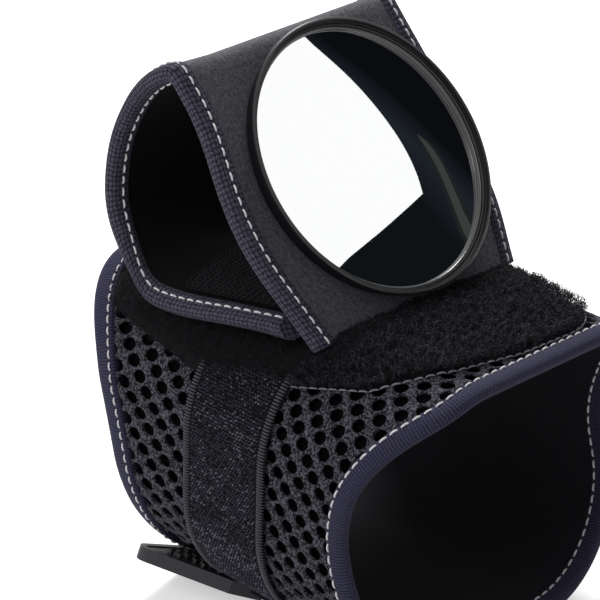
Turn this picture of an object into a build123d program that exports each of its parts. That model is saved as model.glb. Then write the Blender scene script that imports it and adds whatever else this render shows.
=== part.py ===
"""Wrist band with a folded felt flap that carries a round convex mirror.

The forearm runs along X, hand towards -X and elbow towards +X.  Y runs across the wrist
and +Z points from the palm side to the back of the wrist.  The origin is the middle of
the flat strap face under the wrist, which the band rests on.
"""
import os
from math import atan2, cos, degrees, radians, sin, sqrt

from build123d import *

# ---- wrist opening and layers of the band -------------------------------------------
wrist_width = 64.0
wrist_height = 50.5
wrist_top_radius = 17.0
wrist_bottom_radius = 21.0
lining_thickness = 0.8
mesh_thickness = 2.2
binding_proud = 0.4
binding_width = 4.6
strap_thickness = 2.0

# ---- outline of the band seen from the side -----------------------------------------
hand_edge_top = -34.0
hand_edge_shoulder = -24.3
hand_edge_bottom = -14.2
elbow_edge_top = 52.0
elbow_edge_shoulder = 39.3
elbow_edge_bottom = 38.0
brow_drop = 2.0
shoulder_drop = 14.0
edge_round = 10.0

# ---- loop pad and closure ------------------------------------------------------------
pad_thickness = 1.5
pad_hand_end = -28.0
pad_elbow_end = 46.6
pad_half_width = 30.0
pad_waist = 18.0
pad_elbow_near_edge = 23.0
pad_elbow_far_edge = 18.0
pad_hand_corner = 6.0
pad_elbow_corner = 12.0
tape_width = 20.0
tape_thickness = 1.0
tape_centre = 10.0
tape_pad_gap = 0.7
tape_end_angle = 32.0
strap_width = 28.0
strap_end_angle = 22.0
strap_start_height = 31.0

# ---- moulded hook tab at the strap's end ---------------------------------------------
tab_length = 16.0
tab_short_length = 5.5
tab_short_side = 3.0
tab_hinge_side = 6.0
tab_thickness = 2.0
tab_angle = 24.5
tab_clearance = 0.4
tab_corner = 2.0
tab_rim_width = 1.2
tab_rim_height = 0.5
tab_rim_start = 2.0
hook_post_width = 0.7
hook_post_height = 0.6
hook_head_width = 1.1
hook_head_height = 0.25
hook_pitch = 2.2
hook_sheet = 0.3

# ---- folded flap ----------------------------------------------------------------------
flap_side_margin = 2.5
flap_offset = 2.0
flap_edge = 4.0
mirror_leaf_angle = 52.0
root_position = 23.0
felt_thickness = 1.2
flap_lining_thickness = 1.4
board_thickness = 0.8
hook_tape_thickness = 0.8
hook_tape_width = 30.0
seat_clearance = 0.3
fold_clearance = 0.3
crest_radius = 4.0
reach_margin = 0.2
heel_radius = 13.3
base_leaf_end = 11.0
board_inset = 2.0
board_corner = 4.0
board_root_gap = 7.0
board_crest_gap = 6.0
crest_pivot_angle = 119.7
heel_pivot_angle = 205.0
root_pivot_run = 3.7
root_hem_length = 6.5
root_hem_start = 1.0
root_hem_height = 0.9
ribbed_tape_length = 24.0
ribbed_tape_thickness = 0.6

# ---- mirror ---------------------------------------------------------------------------
mirror_diameter = 51.0
mirror_root_gap = 1.1
foam_thickness = 0.6
foam_inset = 4.0
housing_height = 3.4
housing_floor = 0.6
housing_wall = 0.6
housing_taper = 0.2
lip_overhang = 0.7
lip_height = 0.8
rim_chamfer = 0.2
glass_edge = 0.7
glass_inset = 1.9
glass_seat_width = 1.2
glass_curve_radius = 230.0
glass_clearance = 0.1
retainer_width = 0.5
retainer_height = 0.5

# ---- worked-out places ----------------------------------------------------------------
band_thickness = lining_thickness + mesh_thickness
wrist_floor = strap_thickness + binding_proud + band_thickness
wrist_middle = wrist_floor + wrist_height / 2
band_top = wrist_floor + wrist_height + band_thickness
band_bottom = wrist_floor - band_thickness
pad_top = band_top + pad_thickness
mirror_radius = mirror_diameter / 2
mirror_run = mirror_root_gap + mirror_radius
flap_width = mirror_diameter + 2 * flap_side_margin
flap_thickness = felt_thickness + flap_lining_thickness
far_reach = 200.0

os.makedirs("parts", exist_ok=True)


def save(builder, name):
    """Label a finished piece and write it under its node name."""
    builder.part.label = name
    export_step(builder.part, f"parts/{name}.step")


# ======================================================================================
# Band: layers that wrap the wrist
# ======================================================================================
def wrist_outline(offset):
    """Rounded wrist section grown by offset, as a sketch whose axes are Y and Z."""
    half = wrist_width / 2 + offset
    low = wrist_floor - offset
    high = wrist_floor + wrist_height + offset
    bottom = wrist_bottom_radius + offset
    top = wrist_top_radius + offset
    corners = ((-half, low), (half, low), (half, high), (-half, high))
    with BuildSketch(Plane.YZ.offset(-far_reach / 2)) as outline:
        with BuildLine():
            FilletPolyline(*corners, radius=(bottom, bottom, top, top), close=True)
        make_face()
    return outline.sketch


def wrap(inner, outer):
    """A tube round the wrist between two offsets from the wrist's own section."""
    with BuildPart() as tube:
        extrude(wrist_outline(outer), amount=far_reach)
        extrude(wrist_outline(inner), amount=far_reach, mode=Mode.SUBTRACT)
    return tube.part


def side_outline(inset):
    """The band's outline from the side, pulled in by inset at its hand and elbow edges."""
    heights = (far_reach, band_top - brow_drop, band_top - shoulder_drop, band_bottom, -far_reach)
    hand_edge = (hand_edge_top, hand_edge_top, hand_edge_shoulder, hand_edge_bottom, hand_edge_bottom)
    elbow_edge = (elbow_edge_top, elbow_edge_top, elbow_edge_shoulder, elbow_edge_bottom, elbow_edge_bottom)
    hand_points = [(x + inset, z) for x, z in zip(hand_edge, heights)]
    elbow_points = [(x - inset, z) for x, z in zip(elbow_edge, heights)]
    with BuildPart() as slab:
        with BuildSketch(Plane.XZ):
            with BuildLine():
                FilletPolyline(*hand_points, radius=edge_round)
                FilletPolyline(*elbow_points, radius=edge_round)
                Line(hand_points[0], elbow_points[0])
                Line(hand_points[-1], elbow_points[-1])
            make_face()
        extrude(amount=far_reach / 2, both=True)
    return slab.part


with BuildPart() as inner_lining:
    add(wrap(0, lining_thickness))
    add(side_outline(binding_width), mode=Mode.INTERSECT)
save(inner_lining, "inner_lining")

with BuildPart() as mesh_shell:
    add(wrap(lining_thickness, band_thickness))
    add(side_outline(binding_width), mode=Mode.INTERSECT)
save(mesh_shell, "mesh_shell")

band_middle = (hand_edge_bottom + elbow_edge_bottom) / 2
for binding_name, kept in (("hand_edge_binding", Keep.BOTTOM), ("elbow_edge_binding", Keep.TOP)):
    with BuildPart() as edge_binding:
        add(wrap(-binding_proud, band_thickness + binding_proud))
        add(side_outline(0), mode=Mode.INTERSECT)
        add(side_outline(binding_width), mode=Mode.SUBTRACT)
        split(bisect_by=Plane.YZ.offset(band_middle), keep=kept)
    save(edge_binding, binding_name)

with BuildPart() as loop_pad:
    add(wrap(band_thickness, band_thickness + pad_thickness))
    with BuildSketch(Plane.XY.offset(wrist_middle)):
        with BuildLine():
            FilletPolyline(
                (pad_hand_end, -pad_half_width),
                (pad_waist, -pad_half_width),
                (pad_elbow_end, -pad_elbow_near_edge),
                (pad_elbow_end, pad_elbow_far_edge),
                (pad_waist, pad_half_width),
                (pad_hand_end, pad_half_width),
                radius=(pad_hand_corner, *[pad_elbow_corner] * 4, pad_hand_corner),
                close=True,
            )
        make_face()
    extrude(amount=far_reach, mode=Mode.INTERSECT)
save(loop_pad, "loop_pad")

# Lower corner of the wrist section, round which the tape and the strap turn.
corner_y = -(wrist_width / 2 - wrist_bottom_radius)
corner_z = wrist_floor + wrist_bottom_radius

# Height at which the loop pad ends on the wrist's upper corner.
shoulder_radius = wrist_top_radius + band_thickness
pad_edge_reach = pad_half_width - (wrist_width / 2 - wrist_top_radius)
pad_edge_height = band_top - shoulder_radius + sqrt(shoulder_radius**2 - pad_edge_reach**2)
tape_top = pad_edge_height - tape_pad_gap

tape_low = tape_centre - tape_width / 2
with BuildPart() as closure_loop_tape:
    add(wrap(band_thickness, band_thickness + tape_thickness))
    with BuildSketch(Plane.YZ.offset(tape_low)):
        with BuildLine():
            tape_foot = (
                corner_y - far_reach * sin(radians(tape_end_angle)),
                corner_z - far_reach * cos(radians(tape_end_angle)),
            )
            Polyline(
                (corner_y, corner_z),
                tape_foot,
                (-far_reach, tape_foot[1]),
                (-far_reach, tape_top),
                (corner_y, tape_top),
                close=True,
            )
        make_face()
    extrude(amount=tape_width, mode=Mode.INTERSECT)
save(closure_loop_tape, "closure_loop_tape")

tab_face_radius = wrist_bottom_radius + band_thickness + tape_thickness + tab_clearance
tab_pivot_radius = tab_face_radius + tab_thickness / 2
tab_pivot = (
    0,
    corner_y - tab_pivot_radius * sin(radians(tab_angle)),
    corner_z - tab_pivot_radius * cos(radians(tab_angle)),
)
tab_up = (0, sin(radians(tab_angle)), cos(radians(tab_angle)))
tab_plane = Plane(origin=tab_pivot, x_dir=(1, 0, 0), z_dir=tab_up)

with BuildPart() as closure_strap:
    strap_inside = band_thickness + binding_proud
    add(wrap(strap_inside, strap_inside + strap_thickness))
    with BuildSketch(Plane.YZ.offset(-strap_width / 2)):
        with BuildLine():
            strap_foot = (
                corner_y - far_reach * sin(radians(strap_end_angle)),
                corner_z - far_reach * cos(radians(strap_end_angle)),
            )
            Polyline(
                (corner_y, corner_z),
                strap_foot,
                (far_reach, strap_foot[1]),
                (far_reach, strap_start_height),
                (-corner_y, strap_start_height),
                close=True,
            )
        make_face()
    extrude(amount=strap_width, mode=Mode.INTERSECT)
    with BuildSketch(Plane(origin=tab_pivot, x_dir=(0, 1, 0), z_dir=(1, 0, 0))):
        Circle(tab_thickness / 2 + fold_clearance)
    extrude(amount=strap_width, both=True, mode=Mode.SUBTRACT)
save(closure_strap, "closure_strap")


def tab_plan(inset):
    """Plan of the tab in its own plane: straight at the hinge, slanted at the free end."""
    with BuildSketch(Plane.XY) as plan:
        with BuildLine():
            Polyline(
                (-strap_width / 2, 0),
                (-strap_width / 2, -tab_length),
                (tab_short_side, -tab_short_length),
                (tab_hinge_side, 0),
                close=True,
            )
        make_face()
        fillet(plan.vertices().group_by(Axis.Y)[0], tab_corner)
        if inset:
            offset(amount=-inset, mode=Mode.REPLACE)
    return plan.sketch


tab_face = tab_plane.offset(tab_thickness / 2)
with BuildPart() as hook_tab:
    with BuildSketch(tab_face):
        add(tab_plan(0))
    extrude(amount=-tab_thickness)
    with BuildSketch(tab_face):
        add(tab_plan(0))
        add(tab_plan(tab_rim_width), mode=Mode.SUBTRACT)
        Rectangle(2 * strap_width, 2 * tab_rim_start, mode=Mode.SUBTRACT)
    extrude(amount=tab_rim_height)
    with BuildSketch(Plane(origin=(-strap_width / 2, *tab_pivot[1:]), x_dir=(0, 1, 0), z_dir=(1, 0, 0))):
        Circle(tab_thickness / 2)
    extrude(amount=strap_width / 2 + tab_hinge_side)
save(hook_tab, "hook_tab")

hook_sheet_inset = tab_rim_width + fold_clearance
hook_count = int(strap_width / hook_pitch)
hook_room = tab_plan(hook_sheet_inset + hook_head_width / 2).face()
hook_low = -tab_rim_start - hook_head_width / 2
hook_grid = [spot.position for spot in GridLocations(hook_pitch, hook_pitch, hook_count, hook_count)]
hook_moves = [spot - Vector(0, tab_length / 2) for spot in hook_grid]
hook_spots = [spot for spot in hook_moves if spot.Y < hook_low and hook_room.is_inside(spot)]
with BuildPart() as tab_hooks:
    with BuildSketch(tab_face):
        add(tab_plan(hook_sheet_inset))
        Rectangle(2 * strap_width, 2 * tab_rim_start, mode=Mode.SUBTRACT)
    extrude(amount=hook_sheet)
    for base_height, width, height in (
        (hook_sheet, hook_post_width, hook_post_height),
        (hook_sheet + hook_post_height, hook_head_width, hook_head_height),
    ):
        with BuildSketch(tab_face.offset(base_height)):
            with Locations(*hook_spots):
                Rectangle(width, width)
        extrude(amount=height)
save(tab_hooks, "tab_hooks")


# ======================================================================================
# Flap: one strip folded into a loop, drawn in the XZ plane
# ======================================================================================
def turned(angle, run):
    """Step of a given run at an angle from +X in the XZ plane."""
    return Vector(run * cos(radians(angle)), run * sin(radians(angle)))


leaf_up = turned(180 - mirror_leaf_angle, 1)
leaf_out = turned(90 - mirror_leaf_angle, 1)
flap_root = Vector(root_position, pad_top)
base_line = pad_top + seat_clearance + hook_tape_thickness
flap_foot = flap_root + leaf_up * ((base_line - pad_top) / leaf_up.Y)
crest_run = mirror_run + mirror_radius
crest = flap_root + leaf_up * crest_run
back_face = root_position - mirror_diameter - reach_margin
heel_centre = Vector(back_face + heel_radius, base_line + heel_radius)
crest_reach = crest.X - back_face
crest_rise = crest.Y - heel_centre.Y
back_radius = (crest_reach**2 + crest_rise**2) / (2 * crest_reach)
back_centre = Vector(back_face + back_radius, heel_centre.Y)
middle_depth = flap_thickness / 2
root_pivot = flap_root + leaf_up * root_pivot_run - leaf_out * middle_depth
crest_pivot = back_centre + turned(crest_pivot_angle, back_radius - middle_depth)
heel_pivot = heel_centre + turned(heel_pivot_angle, heel_radius - middle_depth)
crest_ray = back_centre + (crest_pivot - back_centre).normalized() * far_reach
heel_ray = back_centre + (heel_pivot - back_centre).normalized() * far_reach


def flap_loop(depth):
    """Closed outline of the folded strip at a depth under its outer face."""
    with BuildSketch(Plane.XZ) as loop:
        with BuildLine():
            heel_low = heel_centre - Vector(0, heel_radius)
            heel_far = heel_centre - Vector(heel_radius, 0)
            Line(flap_foot, crest)
            crest_angle = degrees(atan2(crest.Y - back_centre.Y, crest.X - back_centre.X))
            CenterArc(back_centre, back_radius, crest_angle, 180 - crest_angle)
            CenterArc(heel_centre, heel_radius, 180, 90)
            Line(heel_low, flap_foot)
        make_face()
        fillet(loop.vertices().group_by(Axis.Y)[-1], crest_radius)
        if depth:
            offset(amount=-depth, mode=Mode.REPLACE)
    return loop.sketch_local


def flap_region(leaf, end_radius):
    """Cutting region of one leaf; its fold ends are round, or hollow to fit a round one."""
    inner_root = root_pivot - leaf_out * (middle_depth + 2 * binding_proud)
    end_top = Vector(base_leaf_end, base_line + flap_thickness + 2 * binding_proud)
    outline, round_ends, hollow_ends = {
        "mirror": (
            (
                root_pivot + leaf_out * far_reach,
                inner_root,
                inner_root + leaf_up * heel_radius,
                back_centre,
                crest_ray,
            ),
            (root_pivot, crest_pivot),
            (),
        ),
        "back": ((back_centre, crest_ray, heel_ray), (heel_pivot,), (crest_pivot,)),
        "base": (
            (back_centre, heel_ray, Vector(base_leaf_end, -far_reach), end_top),
            (),
            (heel_pivot,),
        ),
    }[leaf]
    with BuildSketch(Plane.XZ) as region:
        with BuildLine():
            Polyline(*outline, close=True)
        make_face()
        for pivot in round_ends:
            with Locations(pivot):
                Circle(end_radius)
        for pivot in hollow_ends:
            with Locations(pivot):
                Circle(end_radius + fold_clearance, mode=Mode.SUBTRACT)
    return region.sketch_local


def leaf_section(leaf, outer_depth, inner_depth):
    """Section of one layer of one leaf between two depths under the flap's outer face."""
    end_radius = max(middle_depth, middle_depth - outer_depth)
    with BuildSketch(Plane.XZ) as section:
        add(flap_loop(outer_depth))
        add(flap_loop(inner_depth), mode=Mode.SUBTRACT)
        add(flap_region(leaf, end_radius), mode=Mode.INTERSECT)
    return section.sketch_local


skin_half_width = flap_width / 2 - flap_edge
flap_middle = Plane.XZ.offset(flap_offset)
board_length = crest_run - board_root_gap - board_crest_gap
board_low = flap_root + leaf_up * board_root_gap - leaf_out * felt_thickness
board_plane = Plane(
    origin=(board_low.X, -flap_offset, board_low.Y),
    x_dir=(0, 1, 0),
    z_dir=(leaf_out.X, 0, leaf_out.Y),
)
with BuildPart() as mirror_leaf_board:
    with BuildSketch(board_plane):
        with Locations((0, board_length / 2)):
            RectangleRounded(2 * (skin_half_width - board_inset), board_length, board_corner)
    extrude(amount=-board_thickness)
save(mirror_leaf_board, "mirror_leaf_board")

for leaf in ("mirror", "back", "base"):
    with BuildPart() as leaf_felt:
        with BuildSketch(flap_middle):
            add(leaf_section(leaf, 0, felt_thickness))
        extrude(amount=skin_half_width, both=True)
    save(leaf_felt, f"{leaf}_leaf_felt")

    with BuildPart() as leaf_lining:
        with BuildSketch(flap_middle):
            add(leaf_section(leaf, felt_thickness, flap_thickness))
        extrude(amount=skin_half_width, both=True)
        if leaf == "mirror":
            add(mirror_leaf_board, mode=Mode.SUBTRACT)
    save(leaf_lining, f"{leaf}_leaf_lining")

    for side, edge_plane in (
        ("near", flap_middle.offset(skin_half_width)),
        ("far", flap_middle.offset(-flap_width / 2)),
    ):
        with BuildPart() as leaf_binding:
            with BuildSketch(edge_plane):
                add(leaf_section(leaf, -binding_proud, flap_thickness + binding_proud))
            extrude(amount=flap_edge)
        save(leaf_binding, f"{leaf}_leaf_{side}_binding")

with BuildPart() as base_leaf_hook_tape:
    with BuildSketch(flap_middle):
        with BuildLine():
            tape_start = heel_centre.X
            Polyline(
                (tape_start, base_line),
                (base_leaf_end, base_line),
                (base_leaf_end, base_line - hook_tape_thickness),
                (tape_start, base_line - hook_tape_thickness),
                close=True,
            )
        make_face()
    extrude(amount=hook_tape_width / 2, both=True)
save(base_leaf_hook_tape, "base_leaf_hook_tape")

with BuildPart() as base_leaf_ribbed_tape:
    with BuildSketch(Plane.XY.offset(base_line + flap_thickness)):
        with Locations((base_leaf_end - ribbed_tape_length / 2, -flap_offset)):
            Rectangle(ribbed_tape_length, 2 * skin_half_width)
    extrude(amount=ribbed_tape_thickness)
save(base_leaf_ribbed_tape, "base_leaf_ribbed_tape")

with BuildPart() as flap_root_hem:
    with BuildSketch(flap_middle):
        with BuildLine():
            hem_start = root_pivot.X + root_hem_start
            hem_end = root_pivot.X + root_hem_length
            Polyline(
                (hem_start, pad_top),
                (hem_end, pad_top),
                (hem_end, pad_top + root_hem_height),
                (hem_start, pad_top + root_hem_height),
                close=True,
            )
        make_face()
        with Locations(root_pivot):
            Circle(middle_depth + binding_proud + fold_clearance, mode=Mode.SUBTRACT)
    extrude(amount=skin_half_width, both=True)
save(flap_root_hem, "flap_root_hem")


# ======================================================================================
# Mirror: turned about its own axis on the front leaf
# ======================================================================================
mirror_spot = flap_root + leaf_up * mirror_run
mirror_plane = Plane(
    origin=(mirror_spot.X, 0, mirror_spot.Y),
    x_dir=(0, 1, 0),
    z_dir=(leaf_out.X, 0, leaf_out.Y),
)
turning_plane = Plane(origin=mirror_plane.origin, x_dir=(0, 1, 0), z_dir=-mirror_plane.y_dir)
mirror_axis = Axis(mirror_plane.origin, mirror_plane.z_dir)
housing_base = foam_thickness
housing_rim = foam_thickness + housing_height
wall_radius = mirror_radius - lip_overhang
bore_radius = wall_radius - housing_wall
glass_radius = bore_radius - glass_clearance
seat_radius = glass_radius - glass_seat_width
glass_top = housing_rim - glass_inset
seat_height = glass_top - glass_edge


def turn_profile(points):
    """Revolve a closed profile given as radius and height over the leaf."""
    with BuildPart() as turned_piece:
        with BuildSketch(turning_plane):
            with BuildLine():
                Polyline(*points, close=True)
            make_face()
        revolve(axis=mirror_axis)
    return turned_piece.part


with BuildPart() as mirror_foam_pad:
    with BuildSketch(mirror_plane):
        Circle(mirror_radius - foam_inset)
    extrude(amount=foam_thickness)
save(mirror_foam_pad, "mirror_foam_pad")

with BuildPart() as mirror_housing:
    lip_low = housing_rim - lip_height
    add(
        turn_profile(
            (
                (0, housing_base),
                (wall_radius - housing_taper, housing_base),
                (wall_radius, lip_low - lip_overhang),
                (mirror_radius, lip_low),
                (mirror_radius, housing_rim - rim_chamfer),
                (mirror_radius - rim_chamfer, housing_rim),
                (mirror_radius - housing_wall, housing_rim),
                (mirror_radius - housing_wall, lip_low),
                (bore_radius, lip_low),
                (bore_radius, seat_height),
                (seat_radius, seat_height),
                (seat_radius, housing_base + housing_floor),
                (0, housing_base + housing_floor),
            )
        )
    )
save(mirror_housing, "mirror_housing")

# The glass is a disc whose face is cut to a large sphere; its centre is behind the leaf.
curve_depth = sqrt(glass_curve_radius**2 - glass_radius**2) - glass_top
curve_centre = mirror_plane.origin - mirror_plane.z_dir * curve_depth
with BuildPart() as mirror_glass:
    with BuildSketch(mirror_plane.offset(seat_height)):
        Circle(glass_radius)
    extrude(amount=housing_rim)
    with Locations(Plane(origin=curve_centre, x_dir=mirror_plane.z_dir, z_dir=mirror_plane.x_dir)):
        Sphere(glass_curve_radius, mode=Mode.INTERSECT)
save(mirror_glass, "mirror_glass")

with BuildPart() as mirror_retaining_ring:
    with BuildSketch(mirror_plane.offset(glass_top + glass_clearance)):
        Circle(bore_radius)
        Circle(bore_radius - retainer_width, mode=Mode.SUBTRACT)
    extrude(amount=retainer_height)
    chamfer(mirror_retaining_ring.edges().sort_by(mirror_axis)[-1], retainer_height / 2)
save(mirror_retaining_ring, "mirror_retaining_ring")
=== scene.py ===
"""Looks of a wrist band with a folded felt flap that carries a round convex mirror.

Shapes are worked out in millimetres along the frame's axes and become metres when a mesh
is made.  The forearm runs along X with the elbow towards +X; the near side is -Y; +Z
points from the palm side to the mirror.
"""
from functools import partial
from math import asin, atan2, cos, hypot, pi, radians, sin

import bpy
import numpy as np
from mathutils import Matrix, Vector, noise


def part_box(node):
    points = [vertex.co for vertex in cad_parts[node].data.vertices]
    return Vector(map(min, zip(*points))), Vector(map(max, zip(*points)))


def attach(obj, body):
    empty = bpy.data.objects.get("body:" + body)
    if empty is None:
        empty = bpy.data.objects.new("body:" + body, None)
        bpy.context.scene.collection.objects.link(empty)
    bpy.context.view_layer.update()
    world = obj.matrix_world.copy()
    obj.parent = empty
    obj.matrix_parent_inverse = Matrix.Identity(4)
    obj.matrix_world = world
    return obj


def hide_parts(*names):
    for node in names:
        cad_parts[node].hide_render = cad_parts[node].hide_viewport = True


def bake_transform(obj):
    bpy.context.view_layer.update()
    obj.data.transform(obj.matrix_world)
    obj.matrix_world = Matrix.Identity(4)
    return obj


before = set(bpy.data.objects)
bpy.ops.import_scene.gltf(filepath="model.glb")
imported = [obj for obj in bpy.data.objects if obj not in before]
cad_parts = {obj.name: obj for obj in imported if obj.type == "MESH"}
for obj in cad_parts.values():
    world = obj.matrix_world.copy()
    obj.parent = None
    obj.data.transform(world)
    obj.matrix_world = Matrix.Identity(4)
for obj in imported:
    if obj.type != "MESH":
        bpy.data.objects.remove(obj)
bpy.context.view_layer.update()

MM = 0.001
NEAR, FAR = -1, 1


def box(node):
    """Lowest and highest corner of a CAD node in millimetres."""
    low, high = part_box(node)
    return np.array(low) / MM, np.array(high) / MM


# ==== Sizes ====
mesh_low, mesh_high = box("mesh_shell")
pad_low, pad_high = box("loop_pad")
tape_low, tape_high = box("closure_loop_tape")
strap_low, strap_high = box("closure_strap")
base_low, base_high = box("base_leaf_felt")
ribbed_low, ribbed_high = box("base_leaf_ribbed_tape")

_, HALF_WIDTH, BAND_TOP = mesh_high
BAND_BOTTOM, PAD_TOP = mesh_low[2], pad_high[2]
TOP_RADIUS = 20
BOTTOM_RADIUS = 24

# Outline of the band seen from the side: x of each edge at heights above the ground.
EDGE_DROPS = (37, 27, 19, 14, 8, 2, 0)
EDGE_HEIGHTS = (BAND_BOTTOM, *(BAND_TOP - drop for drop in EDGE_DROPS))
HAND_EDGE = (-14.6, -18.6, -21.2, -23.4, -24.9, -29.6, -34.4, -34.4)
ELBOW_EDGE = (46, 41, 37.6, 38.8, 41, 44.8, 50.6, 50.6)

FLAP_ANGLE = 52
flap_root = np.array((23, PAD_TOP))
leaf_up = np.array((-cos(radians(FLAP_ANGLE)), sin(radians(FLAP_ANGLE))))
leaf_out = np.array((sin(radians(FLAP_ANGLE)), cos(radians(FLAP_ANGLE))))
MIRROR_SPOT = Vector(np.mean(box("mirror_glass"), 0)) * MM
MIRROR_FACING = (leaf_out[0], 0, leaf_out[1])
FLAP_THICKNESS = 2.6
# Distance of the strip's near and far edge from the mirror's middle, by run along the strip.
NEAR_WIDTHS = (
    (0, 9, 16, 23, 30, 36, 43, 52, 60, 70, 87, 98, 108, 118, 128, 136, 142),
    (26.3, 29.4, 31.4, 32, 31.5, 30.3, 29.6, 30.8, 30, 29, 29.3, 30.5, 31.3, 31, 29.8, 28.6, 26.5),
)
FAR_WIDTHS = (
    (0, 6, 12, 26, 39, 50, 60, 80, 135),
    (23.6, 25.4, 27, 27.3, 25.9, 24.4, 24.8, 25.5, 26),
)
DROOP_LIFT = 0.7
STITCH_INSET = 2.2


# ==== Materials ====
def socket_label(key):
    """The label of a socket that a keyword names in capitals."""
    return key.replace("_", " ").title()


def add_node(tree, kind, *feeds, **settings):
    """A node whose first inputs take the feeds, each a socket or a value.

    Settings go by attribute or, for names in capitals, by input.
    """
    made = tree.nodes.new(kind)
    pairs = list(zip(made.inputs, feeds))
    for key, value in settings.items():
        if key.isupper():
            pairs.append((made.inputs[socket_label(key)], value))
        else:
            setattr(made, key, value)
    for socket, value in pairs:
        if isinstance(value, bpy.types.NodeSocket):
            tree.links.new(value, socket)
        else:
            socket.default_value = value
    return made


def maths(tree, operation, *feeds):
    """The output of a Math node on sockets or numbers."""
    return add_node(tree, "ShaderNodeMath", *feeds, operation=operation).outputs[0]


def vector_maths(tree, operation, *feeds, **settings):
    """The outputs of a Vector Math node."""
    return add_node(tree, "ShaderNodeVectorMath", *feeds, operation=operation, **settings).outputs


def new_group(name, kind, inputs, results):
    """An empty node group with sockets by label and kind: the tree, its inputs and its results."""
    tree = bpy.data.node_groups.new(name, kind + "NodeTree")
    for way, sockets in (("INPUT", inputs), ("OUTPUT", results)):
        for label, socket_kind in sockets.items():
            tree.interface.new_socket(
                socket_label(label), in_out=way, socket_type="NodeSocket" + socket_kind
            )
    return tree, tree.nodes.new("NodeGroupInput").outputs, tree.nodes.new("NodeGroupOutput").inputs


CLOTH_VALUES = dict(
    WARP_PITCH=0.6, WEFT_PITCH=0.6, RIBS=0, GRAIN=0.5, FIBRE_SCALE=2.5, BLOTCH_SCALE=0.15,
    BLOTCHES=0.2, WANDER=0,
)


def cloth_group():
    """Woven ribs and loose fibres: a height for bump and a tone for colour."""
    inputs, results = {"VECTOR": "Vector"}, {"HEIGHT": "Float", "TONE": "Float"}
    inputs.update(dict.fromkeys(CLOTH_VALUES, "Float"))
    tree, given, sink = new_group("Cloth surface", "Shader", inputs, results)
    place = given["Vector"]

    def mix(a, b, share):
        kept = maths(tree, "MULTIPLY", a, maths(tree, "SUBTRACT", 1, share))
        return maths(tree, "ADD", kept, maths(tree, "MULTIPLY", b, share))

    def wave(value):
        return maths(tree, "ABSOLUTE", maths(tree, "SINE", maths(tree, "MULTIPLY", value, pi)))

    def cloudy(scale, detail, **settings):
        kind = "ShaderNodeTexNoise"
        return add_node(tree, kind, VECTOR=place, SCALE=scale, DETAIL=detail, **settings).outputs

    shift = vector_maths(tree, "SCALE", cloudy(1.1, 2)["Color"], SCALE=given["Wander"])[0]
    moved = vector_maths(tree, "ADD", place, shift)[0]
    split = add_node(tree, "ShaderNodeSeparateXYZ", moved).outputs
    warp = maths(tree, "DIVIDE", split["X"], given["Warp Pitch"])
    weft = maths(tree, "DIVIDE", split["Y"], given["Weft Pitch"])
    rows, columns = wave(weft), wave(warp)
    over = maths(tree, "MULTIPLY", rows, maths(tree, "MULTIPLY_ADD", columns, 0.5, 0.5))
    under = maths(tree, "MULTIPLY", columns, maths(tree, "MULTIPLY_ADD", rows, 0.5, 0.5))
    turn = maths(tree, "ADD", maths(tree, "FLOOR", warp), maths(tree, "FLOOR", weft))
    odd = maths(tree, "MODULO", maths(tree, "ABSOLUTE", turn), 2)
    woven = mix(mix(over, under, odd), columns, given["Ribs"])
    fibres, blotches = (
        cloudy(given[scale], detail, ROUGHNESS=0.65)[0]
        for scale, detail in (("Fibre Scale", 5), ("Blotch Scale", 2))
    )
    height = mix(woven, fibres, given["Grain"])
    tree.links.new(height, sink["Height"])
    tree.links.new(mix(height, blotches, given["Blotches"]), sink["Tone"])
    return tree


CLOTH = cloth_group()


def linear(colour):
    """A colour given in thousandths, with its alpha."""
    return (*(value / 1000 for value in colour), 1)


def plain_material(name, colour, roughness, **shader_inputs):
    """A Principled material; further inputs by name in capitals."""
    made = bpy.data.materials.new(name)
    made.use_nodes = True
    shader = made.node_tree.nodes["Principled BSDF"]
    shader_inputs.update(BASE_COLOR=linear(colour), ROUGHNESS=roughness)
    for key, value in shader_inputs.items():
        label = {"IOR_LEVEL": "Specular IOR Level"}.get(key, socket_label(key))
        shader.inputs[label].default_value = value
    return made


def ramp(tree, mask, *stops):
    """The colour of a Color Ramp on a socket; its stops are (position, colour)."""
    made = add_node(tree, "ShaderNodeValToRGB", mask)
    elements = made.color_ramp.elements
    for _ in stops[2:]:
        elements.new(1)
    for element, (position, colour) in zip(elements, stops):
        element.position, element.color = position, linear(colour)
    return made.outputs[0]


def finish_shader(tree, height, strength, depth, colour=None):
    """Bumps the shader by a height, depth in millimetres, and links its colour."""
    bump = add_node(tree, "ShaderNodeBump", STRENGTH=strength, DISTANCE=depth * MM, HEIGHT=height)
    shader = tree.nodes["Principled BSDF"]
    tree.links.new(bump.outputs[0], shader.inputs["Normal"])
    if colour:
        tree.links.new(colour, shader.inputs["Base Color"])


def coordinates(tree, kind):
    """The socket of a kind of texture coordinates."""
    return tree.nodes.new("ShaderNodeTexCoord").outputs[kind]


def cloth(name, dark, light, low, high, depth, roughness=0.9, sheen=0.02, specular=0.1, **weave):
    """Fabric on a UV map in millimetres; weave gives the surface group's values."""
    made = plain_material(
        name, dark, roughness, SHEEN_WEIGHT=sheen, SHEEN_ROUGHNESS=0.5, IOR_LEVEL=specular
    )
    tree = made.node_tree
    values = {"VECTOR": coordinates(tree, "UV"), **CLOTH_VALUES, **weave}
    woven = add_node(tree, "ShaderNodeGroup", node_tree=CLOTH, **values).outputs
    colour = ramp(tree, woven["Tone"], (low, dark), (high, light))
    finish_shader(tree, woven["Height"], 0.8, depth, colour)
    return made


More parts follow.
